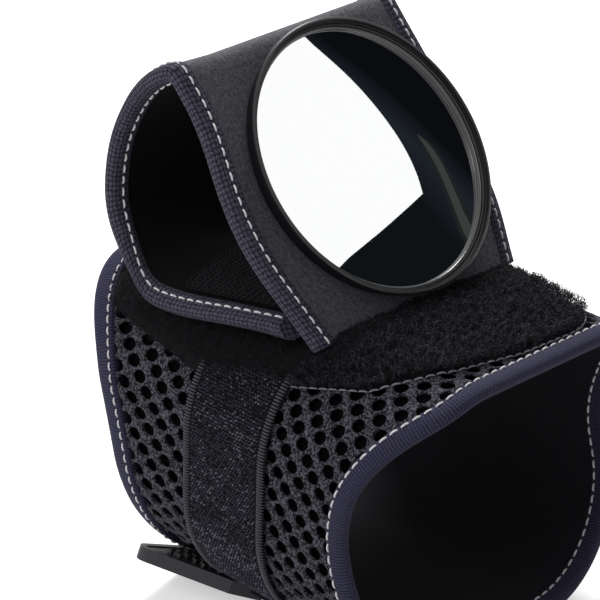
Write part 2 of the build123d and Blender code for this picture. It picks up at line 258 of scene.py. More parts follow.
def grained(name, dark, light, roughness, scale, depth, low=0.38, high=0.64, **shader_inputs):
    """Moulded or fibrous stuff, grained in object space; scale is per metre."""
    made = plain_material(name, dark, roughness, **shader_inputs)
    tree = made.node_tree
    place = coordinates(tree, "Object")
    grain = add_node(tree, "ShaderNodeTexNoise", place, SCALE=scale, DETAIL=5, ROUGHNESS=0.6)
    grain = grain.outputs[0]
    finish_shader(tree, grain, 0.6, depth, ramp(tree, grain, (low, dark), (high, light)))
    return made


def turned(name, colour, roughness, pitch, depth, gloss):
    """Moulded stuff with fine steps round the mirror, in millimetres."""
    made = plain_material(name, colour, roughness, IOR_LEVEL=gloss)
    tree = made.node_tree
    away = vector_maths(tree, "SUBTRACT", coordinates(tree, "Object"), MIRROR_SPOT)[0]
    aside = vector_maths(tree, "CROSS_PRODUCT", away, MIRROR_FACING)[0]
    radius = vector_maths(tree, "LENGTH", aside)["Value"]
    turns = maths(tree, "SINE", maths(tree, "MULTIPLY", radius, 2 * pi / (pitch * MM)))
    finish_shader(tree, turns, 0.7, depth)
    return made


FELT = cloth(
    "Charcoal felt", (6, 6, 11), (172, 167, 200), 0.34, 0.7, 0.22, sheen=0.28,
    GRAIN=1, FIBRE_SCALE=2.6, BLOTCH_SCALE=1.1, BLOTCHES=0.35,
)
LINING = cloth("Smooth black lining", (1.2, 1.4, 1.8), (4, 4.5, 5), 0.2, 0.8, 0.06, specular=0.08)
BINDING = cloth(
    "Dark lilac binding", (2, 2, 5), (112, 106, 152), 0.24, 0.8, 0.26, 0.8, WARP_PITCH=0.95,
    WEFT_PITCH=0.75, GRAIN=0.42, FIBRE_SCALE=2.6, BLOTCHES=0.15, BLOTCH_SCALE=0.8, WANDER=0.8,
)
BAND_BINDING = cloth(
    "Navy binding", (3, 3, 8), (62, 59, 112), 0.15, 0.85, 0.14, 0.8, WARP_PITCH=0.55,
    WEFT_PITCH=0.55, RIBS=0.5, GRAIN=0.35, FIBRE_SCALE=3.5, BLOTCHES=0.1, WANDER=0.5,
)
BAND_LINING = cloth("Knitted band lining", (6, 6, 8), (22, 22, 27), 0.2, 0.8, 0.15)
STRAP = cloth(
    "Strap webbing", (4, 4, 6), (20, 20, 26), 0.2, 0.8, 0.25, WARP_PITCH=0.9, RIBS=0.5, GRAIN=0.3
)
LOOP_TAPE = cloth(
    "Loop tape", (0.8, 0.8, 1.6), (6.5, 6.8, 10.5), 0.25, 0.85, 0.3, WARP_PITCH=0.7,
    WEFT_PITCH=0.8, RIBS=0.7, GRAIN=0.45, FIBRE_SCALE=2.6, BLOTCHES=0.25,
)
RIBBED = cloth(
    "Ribbed tape", (0.8, 0.8, 1.2), (6.5, 7, 9), 0.2, 0.9, 0.25, WARP_PITCH=0.9, RIBS=1, GRAIN=0.25
)
PILE_BASE = cloth(
    "Loop pile base", (1.2, 1.2, 1.6), (8, 7.5, 10), 0.35, 0.75, 0.5, GRAIN=1, FIBRE_SCALE=1.6
)
AIR_MESH = grained(
    "Air mesh yarn", (1, 1, 3), (112, 112, 140), 0.9, 2400, 0.18, 0.44, 0.6,
    SHEEN_WEIGHT=0.02, IOR_LEVEL=0.15,
)
THREAD = grained(
    "White thread", (700, 700, 720), (900, 900, 910), 0.7, 4000, 0.06, SHEEN_WEIGHT=0.1
)
GREY_THREAD = grained("Grey thread", (150, 150, 180), (280, 280, 320), 0.7, 4000, 0.06)
TAB = grained("Moulded tab", (18, 18, 24), (26, 26, 34), 0.45, 1500, 0.03, IOR_LEVEL=0.35)
HOOKS = grained("Moulded hooks", (10, 10, 13), (40, 40, 48), 0.45, 2500, 0.05)
FOAM = grained("Foam", (10, 10, 11), (20, 20, 22), 0.9, 1800, 0.1)
BOARD = grained("Stiff board", (20, 20, 20), (30, 30, 30), 0.8, 900, 0.05)
BEZEL = turned("Black bezel", (4.5, 4.5, 6.5), 0.3, 0.62, 0.05, 0.5)
RING = turned("Retaining ring", (8, 8, 10), 0.2, 0.5, 0.05, 0.9)
MIRROR = plain_material("Silvered glass", (970, 975, 980), 0.01, METALLIC=1)
SPACER = plain_material("Spacer yarn", (2, 2, 2.5), 0.95, IOR_LEVEL=0.05)
# The lit pile fibre is a lighter copy of the pile fibre: painted light on curl tips where the pad
# lies in light.
FIBRE, LIT_FIBRE, LOOP_YARN, DIM_YARN, STANDING_YARN, RIB_YARN = (
    plain_material(name, colour, roughness, SHEEN_WEIGHT=sheen, IOR_LEVEL=gloss)
    for name, colour, roughness, sheen, gloss in (
        ("Loop pile fibre", (9.5, 9, 13.5), 0.8, 0.03, 0.15),
        ("Lit loop pile fibre", (60, 56, 78), 0.7, 0.05, 0.2),
        ("Loop tape yarn", (90, 93, 120), 0.7, 0.1, 0.5),
        ("Dark tape yarn", (47, 49, 66), 0.8, 0, 0.1),
        ("Standing loop yarn", (45, 50, 54), 0.6, 0, 0.2),
        ("Tape edge yarn", (44, 46, 59), 0.75, 0.05, 0.5),
    )
)


# ==== Meshes ====
def surface(
    name, points, material, loop_rows=False, loop_cols=False, caps=(), start=0, normals=None
):
    """A smooth quad mesh through rows and columns of points, with its UV map in millimetres.

    caps names the closed ends, 0 for the first row and -1 for the last; start is the map's
    first length; normals are given where a piece goes on smoothly in its neighbour.
    """
    points = np.asarray(points, float)
    rows, cols = points.shape[:2]

    def lengths(axis, closed):
        ring = np.concatenate([points, points.take([0], axis)], axis) if closed else points
        steps = np.linalg.norm(np.diff(ring, axis=axis), axis=2).mean(1 - axis)
        return np.concatenate([[0], np.cumsum(steps)])

    row_list, col_list = np.arange(rows - (not loop_rows)), np.arange(cols - (not loop_cols))
    i, j = np.meshgrid(row_list, col_list, indexing="ij")
    corners = ((0, 0), (0, 1), (1, 1), (1, 0))
    quads = np.stack([(i + a) % rows * cols + (j + b) % cols for a, b in corners], -1)
    faces = quads.reshape(-1, 4).tolist()
    along, across = start + lengths(0, loop_rows), lengths(1, loop_cols)
    uv = np.stack([np.stack([along[i + a], across[j + b]], -1) for a, b in corners], 2)
    ends = {0: list(range(cols))[::-1], -1: list(range((rows - 1) * cols, rows * cols))}
    cap_uv = (points[cap][:: 1 if cap else -1, 1:] for cap in caps)
    uv = np.concatenate([uv.reshape(-1, 2), *cap_uv])
    end_faces = [ends[cap] for cap in caps]
    made = mesh_object(name, points.reshape(-1, 3) * MM, faces + end_faces, material)
    made.data.uv_layers.new(name="Millimetres").data.foreach_set("uv", uv.ravel())
    for cap_face in made.data.polygons[len(faces) :]:
        cap_face.use_smooth = False
    if normals is not None:
        made.data.normals_split_custom_set_from_vertices(normals.reshape(-1, 3).tolist())
    return made


def grid_normals(points, loop_cols=False):
    """Smooth normals of a grid of points."""
    down = np.gradient(points, axis=0)
    if loop_cols:
        across = np.roll(points, -1, 1) - np.roll(points, 1, 1)
    else:
        across = np.gradient(points, axis=1)
    return unit(np.cross(across, down))


def add_object(name, data):
    """An object for a mesh, lamp or camera."""
    made = bpy.data.objects.new(name, data)
    bpy.context.scene.collection.objects.link(made)
    return made


def mesh_object(name, vertices, faces, material=None):
    """A smooth object from points and faces."""
    mesh = bpy.data.meshes.new(name)
    mesh.from_pydata([tuple(vertex) for vertex in vertices], [], faces)
    mesh.shade_smooth()
    if material:
        mesh.materials.append(material)
    return add_object(name, mesh)


def unit(vectors):
    """Vectors scaled to length 1."""
    return vectors / np.linalg.norm(vectors, axis=-1, keepdims=True)


def directions(path, loop=False):
    """Unit tangents of a path of points."""
    if loop:
        return unit(np.roll(path, -1, 0) - np.roll(path, 1, 0))
    return unit(np.gradient(path, axis=0))


def run_along(path):
    """Length along a path at each of its points."""
    return np.concatenate([[0], np.cumsum(np.linalg.norm(np.diff(path, axis=0), axis=1))])


def resample(path, pitch, loop=False):
    """Even places along a path: fractional indices into it, one every pitch."""
    run = run_along(np.concatenate([path, path[:1]]) if loop else path)
    count = max(1, int(round(run[-1] / pitch)))
    return np.interp((np.arange(count) + 0.5) * run[-1] / count, run, np.arange(len(run)))


def at(values, places, loop=False):
    """Values at fractional indices."""
    ring = np.concatenate([values, values[:1]]) if loop else values
    return np.stack([np.interp(places, np.arange(len(ring)), column) for column in ring.T], -1)


# ---- Geometry Nodes for what repeats
def scatter_group():
    """Puts a copy of one mesh on every point, turned and sized by its attributes."""
    inputs = {"POINTS": "Geometry", "COPY": "Object", "FINISH": "Material", "JOIN": "Float"}
    tree, given, sink = new_group("Scatter copies", "Geometry", inputs, {"RESULT": "Geometry"})

    def add(kind, *feeds, **settings):
        return add_node(tree, kind, *feeds, **settings).outputs

    def stored(label):
        named = add("GeometryNodeInputNamedAttribute", data_type="FLOAT_VECTOR", NAME=label)
        return next(socket for socket in named if socket.enabled)

    turn = add("FunctionNodeEulerToRotation", stored("turn"))[0]
    copy = add("GeometryNodeObjectInfo", OBJECT=given["Copy"])["Geometry"]
    each = {"INSTANCE": copy, "ROTATION": turn, "SCALE": stored("size")}
    spread = add("GeometryNodeInstanceOnPoints", given["Points"], **each)[0]
    real = add("GeometryNodeRealizeInstances", spread)[0]
    joined = add("GeometryNodeMergeByDistance", real, DISTANCE=given["Join"])[0]
    finished = add("GeometryNodeSetMaterial", joined, MATERIAL=given["Finish"])[0]
    tree.links.new(finished, sink[0])
    return tree


SCATTER = scatter_group()


def scatter(name, copy, places, tangents, normals, sizes, material, join=0):
    """One mesh made of copies: x along the tangents, z along the normals, sized in mm.

    Tangents, normals and sizes may each be one for all places.
    """
    places = np.asarray(places) * MM
    carrier = mesh_object(name + "_points", places, [])
    each = (np.broadcast_to(values, places.shape) for values in (tangents, normals, sizes))
    tangents, normals, sizes = each
    side = unit(np.cross(normals, tangents))
    axes = np.stack([unit(tangents), side, unit(np.cross(tangents, side))], 2)
    turns = [Matrix(matrix.tolist()).to_euler() for matrix in axes]
    for label, values in (("turn", turns), ("size", sizes * MM)):
        stored = carrier.data.attributes.new(label, "FLOAT_VECTOR", "POINT")
        stored.data.foreach_set("vector", np.array(values, float).ravel())
    modifier = carrier.modifiers.new("Scatter", "NODES")
    modifier.node_group = SCATTER
    sockets = {item.name: item.identifier for item in SCATTER.interface.items_tree}
    for label, value in (("Copy", copy), ("Finish", material), ("Join", join * MM)):
        modifier[sockets[label]] = value
    graph = bpy.context.evaluated_depsgraph_get()
    result = bpy.data.meshes.new_from_object(carrier.evaluated_get(graph))
    result.name = name
    bpy.data.objects.remove(carrier)
    result.shade_smooth()
    return add_object(name, result)


def ring_faces(steps, sides):
    """Quads between rings of points that follow each other."""
    faces = []
    for start in range(0, steps * sides, sides):
        for k in range(sides):
            after = (k + 1) % sides
            faces.append((start + k, start + after, start + sides + after, start + sides + k))
    return faces


def tube_template(name, path, radius, sides):
    """A thin tube along a short path, closed at both ends."""
    path = np.array(path, float)
    tangents = directions(path)
    side = unit(np.cross(tangents, np.broadcast_to((0.3, 0.2, 1), tangents.shape)))
    up = np.cross(side, tangents)
    turns = (np.arange(sides) * 2 * pi / sides)[None, :, None]
    radii = np.broadcast_to(radius, len(path))[:, None, None]
    rings = path[:, None] + radii * (side[:, None] * np.cos(turns) + up[:, None] * np.sin(turns))
    count = len(path) * sides
    faces = ring_faces(len(path) - 1, sides)
    faces += [tuple(range(sides))[::-1], tuple(range(count - sides, count))]
    return mesh_object(name, rings.reshape(-1, 3), faces)


STITCH_UNIT = 4.2


def stitch_template():
    """A stitch one unit wide and high whose ends dip into the cloth."""
    runs = np.linspace(-0.5, 0.5, 9)
    path = [(x * STITCH_UNIT, 0, 0.35 - 2.6 * x**2 * (1 + 1.5 * x**2)) for x in runs]
    radii = 0.5 * np.sqrt(np.maximum(0.12, 1 - (2 * runs) ** 4))
    return tube_template("Stitch", path, radii, 6)


STITCH = stitch_template()


def stitches(
    name, path, normals, material=THREAD, pitch=2.15, length=1.7, loop=False, width=0.39
):
    """A row of stitches along a path on a surface."""
    places = resample(path, pitch, loop)
    up = at(normals, places, loop)
    along = at(directions(path, loop), places, loop)
    size = (length / STITCH_UNIT, width, width)
    return scatter(name, STITCH, at(path, places, loop), unit(along), unit(up), size, material)


# ==== Wrist band ====
top_end = HALF_WIDTH - TOP_RADIUS
shoulder_end = top_end + TOP_RADIUS * pi / 2
side_end = shoulder_end + (BAND_TOP - TOP_RADIUS) - (BAND_BOTTOM + BOTTOM_RADIUS)
heel_end = side_end + BOTTOM_RADIUS * pi / 2
under_middle = heel_end + HALF_WIDTH - BOTTOM_RADIUS


def wrist(s, x, lift=0):
    """Points on the band's outer face at run s from the top middle, plus on the near side."""
    s, x, lift = np.broadcast_arrays(np.asarray(s, float), x, lift)
    run = np.abs(s)
    side = np.where(s >= 0, NEAR, FAR)
    top_turn = np.clip((run - top_end) / TOP_RADIUS, 0, pi / 2)
    low_turn = np.clip((run - side_end) / BOTTOM_RADIUS, 0, pi / 2)
    turn = top_turn + low_turn
    y = np.clip(run, 0, top_end) + TOP_RADIUS * np.sin(top_turn)
    y = y - BOTTOM_RADIUS * (1 - np.cos(low_turn)) - np.clip(run - heel_end, 0, None)
    z = BAND_TOP - TOP_RADIUS * (1 - np.cos(top_turn)) - BOTTOM_RADIUS * np.sin(low_turn)
    z = z - np.clip(run - shoulder_end, 0, side_end - shoulder_end)
    normal = np.stack([np.zeros_like(y), side * np.sin(turn), np.cos(turn)], -1)
    return np.stack([x, side * y, z], -1) + normal * lift[..., None], normal


def soften(values, width, step, loop=False):
    """Values along a run averaged over about a width."""
    reach = max(1, int(round(3 * width / step)))
    weights = np.exp(-0.5 * (np.arange(-reach, reach + 1) * step / width) ** 2)
    weights /= weights.sum()
    padded_values = np.pad(values, reach, mode="wrap" if loop else "edge")
    return np.convolve(padded_values, weights, "valid")


SECTION_STEP, EDGE_SOFTNESS = 0.8, 3
girth = 2 * under_middle
section_runs = np.arange(-under_middle, under_middle, girth / int(girth / SECTION_STEP))
section_heights = wrist(section_runs, 0)[0][:, 2]
hand_edge, elbow_edge = (
    soften(np.interp(section_heights, EDGE_HEIGHTS, edge), EDGE_SOFTNESS, SECTION_STEP, True)
    for edge in (HAND_EDGE, ELBOW_EDGE)
)
# x of either edge at a run.
hand_x = partial(np.interp, xp=section_runs, fp=hand_edge)
elbow_x = partial(np.interp, xp=section_runs, fp=elbow_edge)


def wrapped(name, runs, x_ranges, lift, material, cols, loop=False):
    """A sheet round the wrist: for each run a line of points from one x to another."""
    points, _ = wrist(runs[:, None], np.linspace(*x_ranges, cols, axis=-1), lift)
    return surface(name, points, material, loop_rows=loop)


def ride(piece, slot, *nodes, body="band"):
    """Puts a piece on a body and hides the nodes it replaces; its slot is not used."""
    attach(piece, body)
    if nodes:
        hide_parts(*nodes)
    return piece


def smoothstep(t):
    """0 to 1 with flat ends."""
    t = np.clip(t, 0, 1)
    return t * t * (3 - 2 * t)


# The loop pad's plan from above, as the lines that bound it: (x, y) where each starts.
PAD_CORNERS = (
    (-28, -31), (1, -33.8), (20.5, -30.5), (34.5, -26.6), (42.3, -16), (45.6, -2), (46.6, 18),
    (18, 30), (-28, 30),
)
PAD_ROUNDS = (6, 20, 8, 6, 8, 12, 12, 12, 6)


def rounded_plan():
    """Points along the pad's outline, whose corners are rounded."""
    points = []
    corners = np.array(PAD_CORNERS)
    for k, (corner, radius) in enumerate(zip(corners, PAD_ROUNDS)):
        before, after = (unit(corners[j % len(corners)] - corner) for j in (k - 1, k + 1))
        half = np.arccos(np.clip(before @ after, -1, 1)) / 2
        centre = corner + unit(before + after) * radius / sin(half)
        first, last = (corner + way * radius / np.tan(half) - centre for way in (before, after))
        start = atan2(*first[::-1])
        swing = (atan2(*last[::-1]) - start + pi) % (2 * pi) - pi
        turns = start + swing * np.linspace(0, 1, 9)
        points += [centre + radius * np.array((cos(turn), sin(turn))) for turn in turns]
    return np.array(points)


pad_plan = rounded_plan()


def pad_depth(x, y):
    """How far inside the loop pad's outline a place is, from above; outside is negative."""
    ways = unit(np.roll(pad_plan, -1, 0) - pad_plan)
    lines = zip(pad_plan, ways)
    return np.min([(y - start[1]) * way[0] - (x - start[0]) * way[1] for start, way in lines], 0)


def run_at(y):
    """The run at which the loop pad reaches a width."""
    return top_end + TOP_RADIUS * asin((y - top_end) / (TOP_RADIUS + PAD_TOP - BAND_TOP))


def within(values, low, high):
    """Whether values lie between two bounds."""
    return (values > low) & (values < high)


PAD_HAND_GAP, PAD_ELBOW_GAP = 4.2, 3.6


def in_pad(s, x, margin):
    """Whether a place is under the loop pad, pulled in by a margin."""
    y = wrist(s, x, PAD_TOP - BAND_TOP)[0][..., 1]
    low, high = hand_x(s) + PAD_HAND_GAP + margin, elbow_x(s) - PAD_ELBOW_GAP - margin
    return (pad_depth(x, y) > margin) & within(x, low, high)


pad_near_run = run_at(-pad_plan[:, 1].min())
pad_far_run = run_at(pad_plan[:, 1].max())
TAPE_TUCK = 3
tape_top = shoulder_end - TOP_RADIUS * asin((tape_high[2] - (BAND_TOP - TOP_RADIUS)) / TOP_RADIUS)
tape_start_run = tape_top - TAPE_TUCK


# ---- air mesh
CELL_STEP_A = np.array((1.85, 2.3))
CELL_STEP_B = np.array((3.05, -2.3))
HAND_STRETCH = 1.28
CELL_WIDTH = 1.1
CELLS_ALONG, CELLS_ROUND = 70, 50
HAND_MARGIN, ELBOW_MARGIN, MESH_TUCK, MESH_SINK = 2.7, 2.2, 2.4, 0.35
CELL_RINGS = ((1.37, 0.26), (1.25, 0.12), (1.2, -0.12), (1.32, -0.34))


def cell_template():
    """One cell of mesh with a round hole; its six-sided rim meets its neighbours' rims."""
    a, b = CELL_STEP_A, CELL_STEP_B
    around = [b, a, a - b, -b, -a, b - a]
    corners = [(around[k] + around[(k + 1) % 6]) / 3 for k in range(6)]
    rim = [p for k in range(6) for p in (corners[k], (corners[k] + corners[(k + 1) % 6]) / 2)]
    rim.sort(key=lambda point: atan2(point[1], point[0]))
    vertices = [(*point, 0.22) for point in rim]
    for radius, height in CELL_RINGS:
        vertices += [
            (CELL_WIDTH * radius * cos(t), radius * sin(t), height)
            for t in (atan2(y, x) for x, y in rim)
        ]
    return mesh_object("Mesh cell", vertices, ring_faces(len(CELL_RINGS), len(rim)))


def stretched_x(x):
    """x on the wrist of a place on the flat mesh, pulled wider towards the hand."""
    share = np.clip((12 - x) / 30, 0, 1)
    return x - (HAND_STRETCH - 1) * (15 * share**2 + np.clip(-18 - x, 0, None))


def air_mesh():
    """The perforated sheet, laid out flat as cells and then wrapped round the wrist."""
    counts = (np.arange(-count, count) for count in (CELLS_ALONG, CELLS_ROUND))
    i, j = np.meshgrid(*counts, indexing="ij")
    x, s = (i[..., None] * CELL_STEP_A + j[..., None] * CELL_STEP_B).reshape(-1, 2).T
    worn_x = stretched_x(x)
    seen = within(s, -under_middle, under_middle)
    seen &= within(worn_x, hand_x(s) + HAND_MARGIN, elbow_x(s) - ELBOW_MARGIN)
    under_tape = within(worn_x, tape_low[0] + MESH_TUCK, tape_high[0] - MESH_TUCK)
    under_tape &= within(s, tape_start_run + 1, heel_end - 14)
    seen &= ~under_tape & ~in_pad(s, worn_x, MESH_TUCK)
    places = np.stack([x, s, 0 * x], 1)[seen]
    copy = cell_template()
    piece = scatter("air_mesh", copy, places, (1, 0, 0), (0, 0, 1), 1, AIR_MESH, join=0.02)
    bpy.data.objects.remove(copy)
    vertices = piece.data.vertices
    flat = np.empty(len(vertices) * 3)
    vertices.foreach_get("co", flat)
    x, s, lift = flat.reshape(-1, 3).T / MM
    vertices.foreach_set("co", (wrist(s, stretched_x(x), lift - MESH_SINK)[0] * MM).ravel())
    piece.data.update()
    ride(piece, "air_mesh")


air_mesh()
for name, lift, material, slot, node in (
    ("spacer_backing", -1.55, SPACER, "air_mesh", "mesh_shell"),
    ("inner_lining_knit", -1.9, BAND_LINING, "band_lining", "inner_lining"),
):
    x_ranges = (hand_edge + 1, elbow_edge - 1)
    layer = ride(wrapped(name, section_runs, x_ranges, lift, material, 24, loop=True), slot, node)

# ---- bindings round the band's edges
BAND_BINDING_PROFILE = (
    (4.9, -0.1), (4.8, 0.3), (4.2, 0.5), (3, 0.58), (1.8, 0.52), (0.9, 0.3), (0.25, -0.05),
    (0, -0.7), (0.25, -1.4), (0.9, -1.9), (1.9, -2.1), (3.2, -2.15), (4.5, -2.1), (4.9, -1.9),
)
BAND_STITCH_INSET = 4.1
for name, edge, way, narrowed in (("hand", hand_edge, 1, 1), ("elbow", elbow_edge, -1, 0.76)):
    path, normals = wrist(section_runs, edge)
    inward = np.cross(directions(path, loop=True), normals)
    inward *= np.sign(inward[:, :1]) * way * narrowed
    grid = np.stack([path + inward * a + normals * height for a, height in BAND_BINDING_PROFILE], 1)
    binding = surface(f"{name}_edge_tape", grid, BAND_BINDING, loop_rows=True, loop_cols=True)
    ride(binding, "edge_binding", f"{name}_edge_binding")
    for face, height, outward in (("outer", 0.52, 1), ("inner", -2.12, -1)):
        row = path + inward * BAND_STITCH_INSET + normals * height
        thread = stitches(f"{name}_edge_{face}_stitches", row, normals * outward, loop=True)
        ride(thread, "edge_binding")


# ---- loop pad
def noise_over(points, scale):
    """Soft irregular values about zero over points."""
    values = [noise.fractal(Vector(p) / scale, 0.6, 2, 3) for p in points.reshape(-1, 3)]
    return np.array(values).reshape(points.shape[:-1])


def noise_on(x, s, scale):
    """The same over places on the wrist."""
    return noise_over(np.stack([x, s, 0 * x], -1), scale)


PAD_THICKNESS, PAD_EDGE, PAD_LUMPS, LUMP_SIZE = 1.15, 1.8, 0.3, 2.2


def pad_sheet():
    """The loop pad's ground cloth, thick in the middle and thin at its edges."""
    runs = np.arange(-pad_far_run, pad_near_run + 0.3, 0.5)
    y = wrist(runs, 0, PAD_TOP - BAND_TOP)[0][:, 1]
    nearest, farthest = np.argmin(pad_plan[:, 1]), np.argmax(pad_plan[:, 1])
    elbow_chain = pad_plan[nearest : farthest + 1]
    hand_chain = np.concatenate([pad_plan[farthest:], pad_plan[: nearest + 1]])[::-1]
    hand_end, elbow_end = (np.interp(y, ch[:, 1], ch[:, 0]) for ch in (hand_chain, elbow_chain))
    x = np.linspace(np.maximum(hand_end, hand_x(runs) + 3.5), elbow_end, 140, axis=-1)
    to_edge = np.clip(pad_depth(x, y[:, None]), 0, None)
    flat, _ = wrist(runs[:, None], x)
    lumps = PAD_LUMPS * noise_over(flat, LUMP_SIZE) * smoothstep(to_edge / 3)
    thick = PAD_THICKNESS * smoothstep(to_edge / PAD_EDGE) + lumps
    points, _ = wrist(runs[:, None], x, 0.1 + thick)
    return surface("loop_pad_ground", points, PILE_BASE)


pad = ride(pad_sheet(), "loop_pile", "loop_pad")


def curl_template(name, turn, rise):
    """A curly fibre that leaves the cloth, loops over and comes back."""
    angles = np.linspace(-0.35 * pi, turn * pi, 6)
    path = [(0.5 * sin(a), 0.22 * a / pi, 0.5 - 0.5 * cos(a) + rise * a / pi) for a in angles]
    return tube_template(name, path, 0.055, 3)


def pile(name, count, x_range, s_range, seed, copy, size, material=FIBRE, height=(0.9, 1.45)):
    """Curly fibres standing on the loop pad in one region."""
    rng = np.random.default_rng(seed)
    x, s = rng.uniform(*x_range, 4 * count), rng.uniform(*s_range, 4 * count)
    clumps = noise_on(x, s, 1.5)
    kept = in_pad(s, x, -0.2) & (clumps > rng.uniform(-0.45, 0.25, len(x)))
    x, s, clumps = (values[kept][:count] for values in (x, s, clumps))
    points, normals = wrist(s, x, rng.uniform(*height, len(s)) + 0.9 * clumps)
    ride(curls(name, points, normals, rng, copy, size, material), "loop_pile")


def curls(name, points, normals, rng, copy, size, material):
    """Curly fibres turned at random on points with normals."""
    count = len(points)
    turn, lean = rng.uniform(0, 2 * pi, (count, 1)), rng.normal(0, 0.45, (count, 1))
    sizes = rng.uniform(*size, (count, 1))
    side = unit(np.cross(normals, (0.9, 0.1, 0)))
    tangents = side * np.cos(turn) + np.cross(normals, side) * np.sin(turn)
    return scatter(name, copy, points, tangents, unit(normals + tangents * lean), sizes, material)


curl_a = curl_template("Curl a", 1.15, 0.1)
curl_b = curl_template("Curl b", 0.8, 0.5)
# Curls in the lit zone include lighter copies, painted light on their tips; the shaded zone under
# the flap gets none.
LIT_START = 20.5
lit_zone, shaded_zone = (LIT_START, pad_high[0]), (pad_low[0], LIT_START)
whole_width = (-pad_far_run, pad_near_run)
pile("pile_elbow_curls", 5600, lit_zone, whole_width, 11, curl_a, (0.4, 1.1))
pile("pile_elbow_wisps", 5600, lit_zone, whole_width, 12, curl_b, (0.4, 1.1))
lit_tips = (LIT_FIBRE, (1.1, 1.6))
pile("pile_elbow_pale_curls", 3800, lit_zone, whole_width, 16, curl_a, (0.4, 0.9), *lit_tips)
pile("pile_near_curls", 3200, shaded_zone, (16, pad_near_run), 13, curl_a, (0.4, 1))
pile("pile_far_curls", 1600, shaded_zone, (-pad_far_run, -16), 14, curl_a, (0.4, 1))
pile("pile_hand_curls", 900, (pad_low[0], pad_low[0] + 9), (-20, 20), 15, curl_a, (0.4, 0.7))

# A grey seam holds the pad down along its edge, from where the flap leaves it in sight.
SEAM_START = 13.5
seam_runs = [np.sign(-y) * (run_at(abs(y)) if abs(y) > top_end else abs(y)) for y in pad_plan[:, 1]]
seam_path, seam_normals = wrist(seam_runs, pad_plan[:, 0] + 0.3, 0.35)
fine = np.linspace(0, len(seam_path), 1200, endpoint=False)
seam_path, seam_normals = at(seam_path, fine, True), unit(at(seam_normals, fine, True))
on_elbow_part = seam_path[:, 0] > SEAM_START
first_shown = int(np.argmax(on_elbow_part & ~np.roll(on_elbow_part, 1)))
seam_rows = (first_shown + np.arange(on_elbow_part.sum())) % len(fine)
seam_path, seam_normals = seam_path[seam_rows], seam_normals[seam_rows]
seam = stitches("loop_pad_seam", seam_path, seam_normals, GREY_THREAD, 1.9, 1.75, width=0.34)
ride(seam, "loop_pile")


# ---- pile over the flap's root
FLAP_SIDE_NEAR, FLAP_SIDE_FAR, HEM_LENGTH = 29, 22.4, 10.5


def root_mound():
    """The pile that is drawn up over the felt's lower end and hides the seam there."""
    across = np.arange(-FLAP_SIDE_NEAR, FLAP_SIDE_FAR, 0.6)
    foot, knee = np.array((30.5, PAD_TOP - 0.2)), np.array((25.4, PAD_TOP + 1))
    top = flap_root + 1 * leaf_up + 0.3 * leaf_out
    t = np.linspace(0, 1, 18)[:, None]
    section = (1 - t) ** 2 * foot + 2 * t * (1 - t) * knee + t**2 * top
    rank = np.arange(len(across)) + 0.5
    ends = (smoothstep(rank / 13) * smoothstep((len(across) - rank) / 6))[:, None]
    bow = TOP_RADIUS + PAD_TOP - BAND_TOP
    turn = np.clip(-across - top_end, 0, None)[:, None] / bow
    x = flap_root[0] + (section[:, 0] - flap_root[0]) * (0.5 + 0.5 * ends)
    y = np.where(turn > 0, -(top_end + bow * np.sin(turn)), across[:, None])
    z = PAD_TOP + 0.2 + (section[:, 1] - PAD_TOP - 0.2) * ends
    z = z - bow * (1 - np.cos(turn)) * (1 - 0.45 * t[:, 0])
    points = np.stack(np.broadcast_arrays(x, y, z), -1)
    normals = grid_normals(points)
    return points + normals * 0.55 * noise_over(points, 1.6)[..., None], normals


mound_points, mound_normals = root_mound()
mound = ride(surface("root_hem_pile", mound_points, PILE_BASE), "loop_pile", "flap_root_hem")
for name, count, copy, size, material in (
    ("root_curls", 3800, curl_a, (0.4, 1.2), FIBRE),
    ("root_wisps", 2400, curl_b, (0.4, 1.2), FIBRE),
    # lighter copies, painted light on the tips of the root's curls
    ("root_pale_curls", 900, curl_a, (0.4, 0.9), LIT_FIBRE),
):
    rng = np.random.default_rng(count)
    rows = rng.uniform(0, len(mound_points) - 1.001, count)
    columns = rng.uniform(0, mound_points.shape[1] - 1.001, count).astype(int)
    low, share = rows.astype(int), (rows % 1)[:, None]
    places = mound_points[low, columns] * (1 - share) + mound_points[low + 1, columns] * share
    normals = mound_normals[low, columns]
    places = places + normals * rng.uniform(-0.2, 0.3, (count, 1))
    ride(curls(name, places, normals, rng, copy, size, material), "loop_pile")

# ---- closure loop tape, strap and hook tab
TAPE_LIFT = 0.72
tape_end = heel_end - 12
tape_runs = np.arange(tape_start_run, tape_end, 0.5)
tape_x = (tape_low[0], tape_high[0])
tape = wrapped("closure_tape_ground", tape_runs, tape_x, 0.75, LOOP_TAPE, 40)
ride(tape, "loop_tape", "closure_loop_tape")

EDGE_RIB_PITCH, EDGE_RIB_REACH = 0.56, 1.7
edge_rib_runs = np.arange(tape_runs[0], tape_runs[-1], EDGE_RIB_PITCH)
size = (EDGE_RIB_REACH / STITCH_UNIT, 0.38, 0.5)
for side, edge, way in (("hand", tape_low, 1), ("elbow", tape_high, -1)):
    places, normals = wrist(edge_rib_runs, edge[0] + way * EDGE_RIB_REACH / 2, TAPE_LIFT)
    name = f"closure_tape_{side}_ribs"
    ride(scatter(name, STITCH, places, (1, 0, 0), normals, size, RIB_YARN), "loop_tape")

